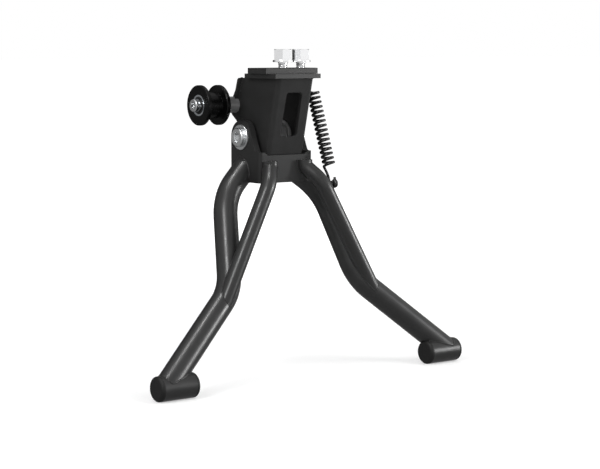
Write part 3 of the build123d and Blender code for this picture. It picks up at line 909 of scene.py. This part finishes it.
@dataclass
class ReturnSpring:
    """Coil spring between the bracket and the peg on the right strut."""

    coating_mm: float = 0.2
    coil_top_mm: tuple[float, float, float] = (0.0, 3.3, -26.3)
    coil_bottom_mm: tuple[float, float, float] = (0.0, -17.8, -102.5)

    def build(self) -> None:
        """Makes the spring from the CAD coil, thickened by its coating, hides the plain coil and dresses the
        peg.
        """
        mesh = bpy.data.meshes.new("spring_flexing")
        wire = bmesh.new()
        wire.from_mesh(FRAME_NODES["spring"].data)
        bmesh.ops.remove_doubles(wire, verts=wire.verts, dist=JOIN_MM * MM)
        wire.normal_update()
        for vertex in wire.verts:
            vertex.co += vertex.normal * self.coating_mm * MM
        wire.to_mesh(mesh)
        wire.free()
        mesh.shade_smooth()
        mesh.materials.append(BLACK_OXIDE.material())
        piece = add_object("spring_flexing", mesh)
        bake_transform(piece)
        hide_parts("spring")
        dress(["spring_peg"], TUBE_COAT)
        LOG.info("return spring bends between the bracket and its peg")


@dataclass(frozen=True)
class Lamp:
    """Rectangular lamp that faces the object: it lights surfaces, or else shows only as a reflection."""

    name: str
    azimuth_deg: float
    elevation_deg: float
    power: float
    width: float
    height: float
    mirrored_only: bool = False
    shadows: bool = True
    distance: float = 2.4

    def build(self, target: Vector) -> None:
        """Hangs the lamp and turns it to the object.

        Args:
            target: point that it faces.
        """
        light = bpy.data.lights.new(self.name, "AREA")
        light.shape = "RECTANGLE"
        light.size, light.size_y = self.width, self.height
        light.energy = self.power
        light.use_shadow = self.shadows
        lamp = add_object(self.name, light)
        way = direction(self.azimuth_deg, self.elevation_deg)
        lamp.location = target + way * self.distance
        aim(lamp, -way)
        lamp.visible_camera = False
        lamp.visible_glossy = self.mirrored_only
        lamp.visible_diffuse = not self.mirrored_only


@dataclass
class Studio:
    """Pale floor, white surroundings, four soft boxes, four mirrored lamps and the photograph's camera."""

    camera_place: tuple[float, float, float] = (-1.07868, -1.46359, 0.02162)
    camera_azimuth_deg: float = -36.952
    camera_elevation_deg: float = 6.142
    lens_mm: float = 104.66
    sensor_mm: float = 36.0
    floor_z: float = -0.3200
    floor_half: float = 40.0
    floor_colour: str = "#dadada"
    floor_roughness: float = 0.9
    floor_glow: Span = (0.36, 0.68)
    floor_mirrored: Span = (0.4, 1.0)
    floor_reach: Span = (0.35, 1.5)
    world_level: float = 0.5
    flag_way: tuple[float, float, float] = (0.26, 0.966, 0.0)
    flag_spread: Span = (0.2, 0.9)
    flag_level: float = 0.06
    left_reach: Span = (-1.0, -0.1)
    left_level: float = 0.8
    target: Vector = field(default_factory=lambda: Vector((0.0, 0.0, -0.15)))
    lamps: tuple[Lamp, ...] = (
        Lamp("left_softbox", -75.0, 30.0, 29.0, 1.2, 1.2),
        Lamp("right_softbox", 35.0, 30.0, 26.0, 1.2, 1.2),
        Lamp("front_fill", -25.0, 12.0, 13.0, 1.2, 1.2, shadows=False),
        Lamp("rear_softbox", 145.0, 25.0, 14.0, 1.2, 1.2),
        Lamp("left_strip", -55.0, 39.0, 44.0, 0.34, 0.34, mirrored_only=True),
        Lamp("right_strip", 54.0, 8.0, 44.0, 0.34, 0.34, mirrored_only=True),
        Lamp("top_strip", -80.0, 82.0, 35.0, 0.34, 0.34, mirrored_only=True),
        Lamp("low_strip", 46.0, -1.0, 6.0, 0.2, 0.2, mirrored_only=True, shadows=False),
    )

    def build_camera(self) -> None:
        """Sets the camera at the photograph's place and angle."""
        data = bpy.data.cameras.new("photo_camera")
        data.lens, data.sensor_width = self.lens_mm, self.sensor_mm
        camera = add_object("photo_camera", data)
        camera.location = Vector(self.camera_place)
        aim(camera, -direction(self.camera_azimuth_deg, self.camera_elevation_deg))
        bpy.context.scene.camera = camera

    def seen_directly(self, tree: Tree, rays: bpy.types.Node) -> Socket:
        """Whether the camera sees a surface, straight or through something clear.

        Args:
            tree: the material's or the world's tree.
            rays: its light path node.

        Returns:
            The socket that holds 1 where it does.
        """
        return add_node(
            tree, "ShaderNodeMath",
            {0: rays.outputs["Is Camera Ray"], 1: rays.outputs["Is Transmission Ray"]}, operation="MAXIMUM",
        ).outputs[0]

    def mirrored_level(self, tree: Tree, way: Socket) -> Socket:
        """Light that a gloss meets: white, but dimmer on the left and dark where a flag stands behind.

        Args:
            tree: the material's or the world's tree.
            way: direction from the object, of any length.

        Returns:
            The socket that holds the level.
        """
        unit = add_node(tree, "ShaderNodeVectorMath", {0: way}, operation="NORMALIZE").outputs[0]
        towards = add_node(
            tree, "ShaderNodeVectorMath", {0: unit, 1: self.flag_way}, operation="DOT_PRODUCT"
        ).outputs["Value"]
        rim, middle = self.flag_spread
        flagged = add_node(
            tree, "ShaderNodeMapRange",
            {"Value": towards, "From Min": rim, "From Max": middle, "To Min": 1.0, "To Max": self.flag_level},
            interpolation_type="SMOOTHSTEP",
        ).outputs[0]
        sideways = add_node(tree, "ShaderNodeSeparateXYZ", {0: unit}).outputs["X"]
        left, front = self.left_reach
        dimmed = add_node(
            tree, "ShaderNodeMapRange",
            {
                "Value": sideways, "From Min": left, "From Max": front,
                "To Min": self.left_level, "To Max": 1.0,
            },
            interpolation_type="SMOOTHSTEP",
        ).outputs[0]
        return add_node(tree, "ShaderNodeMath", {0: flagged, 1: dimmed}, operation="MULTIPLY").outputs[0]

    def build_floor(self) -> None:
        """Lays the floor, which shows white but keeps the object's shadow."""
        half = self.floor_half
        mesh = bpy.data.meshes.new("floor")
        corners = [(-half, -half, self.floor_z), (half, -half, self.floor_z),
                   (half, half, self.floor_z), (-half, half, self.floor_z)]
        mesh.from_pydata(corners, [], [(0, 1, 2, 3)])
        material = bpy.data.materials.new("studio_floor")
        material.use_nodes = True
        tree = material.node_tree
        tree.nodes.clear()
        rays = add_node(tree, "ShaderNodeLightPath")
        place = add_node(tree, "ShaderNodeTexCoord").outputs["Object"]
        away = add_node(tree, "ShaderNodeVectorMath", {0: place}, operation="LENGTH").outputs["Value"]
        near, far = self.floor_reach
        glow, mirrored_share = (
            add_node(
                tree, "ShaderNodeMapRange",
                {"Value": away, "From Min": near, "From Max": far, "To Min": levels[0], "To Max": levels[1]},
                interpolation_type="SMOOTHSTEP",
            ).outputs[0]
            for levels in (self.floor_glow, self.floor_mirrored)
        )
        seen = self.seen_directly(tree, rays)
        strength = add_node(tree, "ShaderNodeMath", {0: seen, 1: glow}, operation="MULTIPLY").outputs[0]
        lit = add_node(
            tree, "ShaderNodeBsdfPrincipled",
            {
                "Base Color": linear(self.floor_colour), "Roughness": self.floor_roughness,
                "Specular IOR Level": 0.0, "Emission Color": WHITE, "Emission Strength": strength,
            },
        ).outputs[0]
        level = self.mirrored_level(tree, place)
        dimmed = add_node(
            tree, "ShaderNodeMath", {0: level, 1: mirrored_share}, operation="MULTIPLY"
        ).outputs[0]
        mirrored = add_node(tree, "ShaderNodeEmission", {"Strength": dimmed}).outputs[0]
        shader = add_node(
            tree, "ShaderNodeMixShader", {0: rays.outputs["Is Glossy Ray"], 1: lit, 2: mirrored}
        )
        add_node(tree, "ShaderNodeOutputMaterial", {"Surface": shader.outputs[0]})
        mesh.materials.append(material)
        floor = add_object("floor", mesh)

    def build_world(self) -> None:
        """Surrounds the object with white; a gloss mirrors it darker behind and dimmer on the left."""
        world = bpy.data.worlds.new("white_studio")
        bpy.context.scene.world = world
        world.use_nodes = True
        tree = world.node_tree
        tree.nodes.clear()
        rays = add_node(tree, "ShaderNodeLightPath")
        mirrored = self.mirrored_level(tree, add_node(tree, "ShaderNodeTexCoord").outputs["Generated"])
        level = add_node(
            tree, "ShaderNodeMix", {0: rays.outputs["Is Glossy Ray"], 2: self.world_level, 3: mirrored}
        ).outputs[0]
        seen = self.seen_directly(tree, rays)
        strength = add_node(tree, "ShaderNodeMix", {0: seen, 2: level, 3: 1.0}).outputs[0]
        background = add_node(tree, "ShaderNodeBackground", {"Color": WHITE, "Strength": strength})
        add_node(tree, "ShaderNodeOutputWorld", {"Surface": background.outputs[0]})

    def build(self) -> None:
        """Sets up camera, floor, surroundings and lamps."""
        scene = bpy.context.scene
        scene.view_settings.view_transform = "Standard"
        self.build_camera()
        self.build_floor()
        self.build_world()
        for lamp in self.lamps:
            lamp.build(self.target)
        LOG.info("studio: %d lamps", len(self.lamps))


def main() -> None:
    """Builds the studio and dresses each sub-assembly in order."""
    logging.basicConfig(level=logging.INFO, format="%(name)s %(message)s")
    for part in (Studio(), Carrier(), Pivot(), Legs(), ChainRoller(), ReturnSpring()):
        part.build()


if __name__ == "__main__":
    main()
